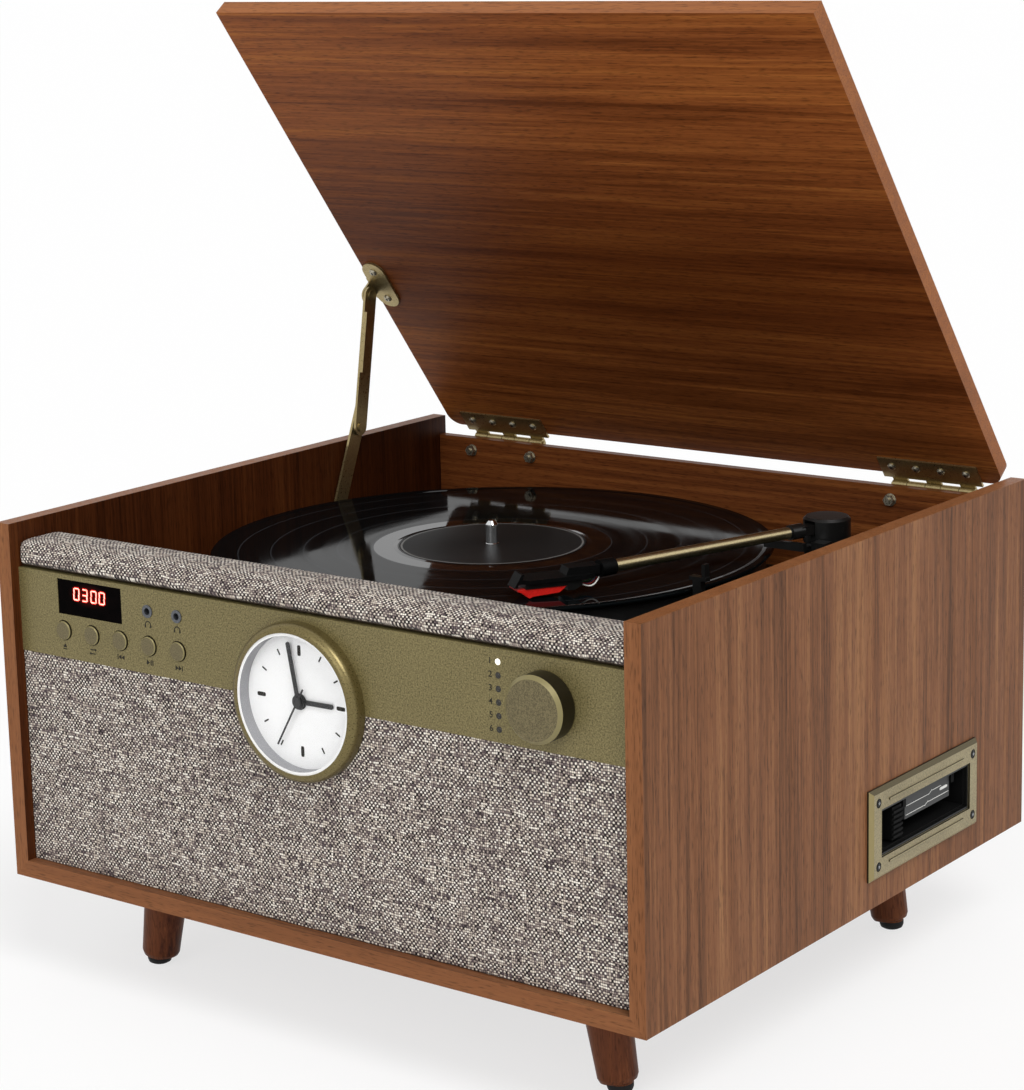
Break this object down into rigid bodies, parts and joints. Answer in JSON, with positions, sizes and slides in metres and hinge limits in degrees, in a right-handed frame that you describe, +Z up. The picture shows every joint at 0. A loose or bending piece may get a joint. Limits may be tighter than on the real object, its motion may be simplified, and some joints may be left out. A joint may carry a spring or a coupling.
{
  "type": "record player",
  "caption": "Wooden record player with a hinged lid on a stay, belt driven turntable, tone arm, cloth front with a clock and control strip, cassette slot and disc tray, on splayed legs.",
  "frame": {"origin": "on the floor below the middle of the box round the open player", "axes": "+X right seen from the front, +Y to the back, +Z up"},
  "size_m": [0.407, 0.3784, 0.502],
  "materials": {
    "black_metal": "satin",
    "black_plastic": "matte",
    "board": "matte",
    "brass": "satin",
    "bronze_paint": "satin",
    "chrome": "polished",
    "circuit": "matte",
    "clear_glass": "polished",
    "cloth": "matte",
    "felt": "matte",
    "gold_tube": "polished",
    "grey_plastic": "matte",
    "lamp_plastic": "gloss",
    "platter_metal": "satin",
    "red_plastic": "gloss",
    "rubber": "matte",
    "steel": "satin",
    "vinyl": "gloss",
    "walnut": "satin",
    "white_plastic": "matte",
    "window_plastic": "gloss"
  },
  "bodies": {
    "cabinet": {"left_panel": "walnut", "right_panel": "walnut", "bottom_panel": "walnut", "back_panel": "walnut", "front_baffle": "board", "grille_cloth": "cloth", "top_pad": "cloth", "control_panel": "bronze_paint", "display_window": "window_plastic", "lamp_lenses": "lamp_plastic", "jack_sockets": "black_metal", "clock_bezel": "bronze_paint", "clock_dial": "white_plastic", "clock_glass": "clear_glass", "clock_movement": "black_plastic", "deck_plate": "black_plastic", "motor": "steel", "drive_belt": "rubber", "tonearm_base": "black_plastic", "legs": "walnut", "foot_pads": "rubber", "side_frames": "bronze_paint", "frame_screws": "black_metal", "media_drives": "black_plastic", "speakers": "black_metal", "circuit_board": "circuit", "rear_panel": "black_plastic", "hinge_lower_leaves": "brass", "hinge_bolts": "brass", "stay_wall_bracket": "brass"},
    "lid": {"lid_panel": "walnut", "hinge_upper_leaves": "brass", "lid_screws": "brass", "stay_lid_bracket": "brass"},
    "stay_upper": {"stay_upper_bar": "brass"},
    "stay_lower": {"stay_lower_bar": "brass"},
    "turntable": {"platter": "platter_metal", "spindle": "chrome", "slip_mat": "felt", "record": "vinyl"},
    "pulley": {"motor_pulley": "brass"},
    "arm_pivot": {"pivot_housing": "black_plastic"},
    "arm": {"tonearm_tube": "gold_tube", "headshell": "black_plastic", "cartridge": "black_plastic", "stylus": "red_plastic"},
    "cue": {"cue_lever": "black_plastic"},
    "speed": {"speed_switch": "steel"},
    "knob": {"volume_knob": "bronze_paint"},
    "button_tray": {"tray_button": "bronze_paint"},
    "button_repeat": {"repeat_button": "bronze_paint"},
    "button_previous": {"previous_button": "bronze_paint"},
    "button_play": {"play_button": "bronze_paint"},
    "button_next": {"next_button": "bronze_paint"},
    "hand_hour": {"hour_hand": "black_metal"},
    "hand_minute": {"minute_hand": "black_metal"},
    "hand_second": {"second_hand": "black_metal"},
    "flap": {"cassette_flap": "grey_plastic"},
    "eject": {"cassette_button": "black_plastic"},
    "tray": {"disc_tray": "black_plastic"}
  },
  "joints": [
    {"name": "lid_hinge", "type": "hinge", "parent": "cabinet", "child": "lid", "pos_m": [0, 0.18406, 0.2332], "axis": [-1, 0, 0], "range_deg": [-52.5, 0]},
    {"name": "stay_upper_pivot", "type": "hinge", "parent": "lid", "child": "stay_upper", "pos_m": [-0.18475, 0.10523, 0.32838], "axis": [-1, 0, 0], "range_deg": [-24.5, 0]},
    {"name": "stay_lower_pivot", "type": "hinge", "parent": "cabinet", "child": "stay_lower", "pos_m": [-0.18695, 0.06716, 0.1921], "axis": [-1, 0, 0], "range_deg": [0, 61.9]},
    {"name": "turntable_spin", "type": "hinge", "parent": "cabinet", "child": "turntable", "pos_m": [-0.0315, 0.01656, 0.1806], "axis": [0, 0, -1], "continuous": true},
    {"name": "pulley_spin", "type": "hinge", "parent": "cabinet", "child": "pulley", "pos_m": [-0.12547, -0.01764, 0.1806], "axis": [0, 0, -1], "continuous": true},
    {"name": "arm_swing", "type": "hinge", "parent": "cabinet", "child": "arm_pivot", "pos_m": [0.125, 0.10176, 0.2256], "axis": [0, 0, 1], "range_deg": [-23, 16.2]},
    {"name": "arm_lift", "type": "hinge", "parent": "arm_pivot", "child": "arm", "pos_m": [0.125, 0.10176, 0.2256], "axis": [-0.95, 0.3123, 0], "range_deg": [0, 7]},
    {"name": "cue_turn", "type": "hinge", "parent": "cabinet", "child": "cue", "pos_m": [0.125, 0.08326, 0.2181], "axis": [-1, 0, 0], "range_deg": [0, 20.3]},
    {"name": "speed_slide", "type": "slide", "parent": "cabinet", "child": "speed", "axis": [0, 1, 0], "range_m": [-0.006, 0.006]},
    {"name": "volume_turn", "type": "hinge", "parent": "cabinet", "child": "knob", "pos_m": [0.1453, -0.17764, 0.1991], "axis": [0, 1, 0], "continuous": true},
    {"name": "press_tray", "type": "slide", "parent": "cabinet", "child": "button_tray", "axis": [0, 1, 0], "range_m": [0, 0.0012], "stiffness_N_per_m": 400},
    {"name": "press_repeat", "type": "slide", "parent": "cabinet", "child": "button_repeat", "axis": [0, 1, 0], "range_m": [0, 0.0012], "stiffness_N_per_m": 400},
    {"name": "press_previous", "type": "slide", "parent": "cabinet", "child": "button_previous", "axis": [0, 1, 0], "range_m": [0, 0.0012], "stiffness_N_per_m": 400},
    {"name": "press_play", "type": "slide", "parent": "cabinet", "child": "button_play", "axis": [0, 1, 0], "range_m": [0, 0.0012], "stiffness_N_per_m": 400},
    {"name": "press_next", "type": "slide", "parent": "cabinet", "child": "button_next", "axis": [0, 1, 0], "range_m": [0, 0.0012], "stiffness_N_per_m": 400},
    {"name": "minute_turn", "type": "hinge", "parent": "cabinet", "child": "hand_minute", "pos_m": [0, -0.17764, 0.1786], "axis": [0, 1, 0], "continuous": true},
    {"name": "hour_turn", "type": "hinge", "parent": "cabinet", "child": "hand_hour", "pos_m": [0, -0.17764, 0.1786], "axis": [0, 1, 0], "continuous": true},
    {"name": "second_turn", "type": "hinge", "parent": "cabinet", "child": "hand_second", "pos_m": [0, -0.17764, 0.1786], "axis": [0, 1, 0], "continuous": true},
    {"name": "flap_swing", "type": "hinge", "parent": "cabinet", "child": "flap", "pos_m": [0.1964, 0.07706, 0.1009], "axis": [0, 1, 0], "range_deg": [0, 75], "stiffness_Nm_per_rad": 0.004, "springref_deg": -20.05},
    {"name": "eject_press", "type": "slide", "parent": "cabinet", "child": "eject", "axis": [-1, 0, 0], "range_m": [0, 0.004], "stiffness_N_per_m": 300},
    {"name": "tray_slide", "type": "slide", "parent": "cabinet", "child": "tray", "axis": [-1, 0, 0], "range_m": [0, 0.13]}
  ],
  "couplings": [
    {"joint": "stay_upper_pivot", "follows": "lid_hinge", "ratio": 0.46261},
    {"joint": "stay_lower_pivot", "follows": "lid_hinge", "ratio": -1.176},
    {"joint": "pulley_spin", "follows": "turntable_spin", "ratio": 14.762},
    {"joint": "cue_turn", "follows": "arm_lift", "ratio": 2.857},
    {"joint": "hour_turn", "follows": "minute_turn", "ratio": 0.083333}
  ]
}
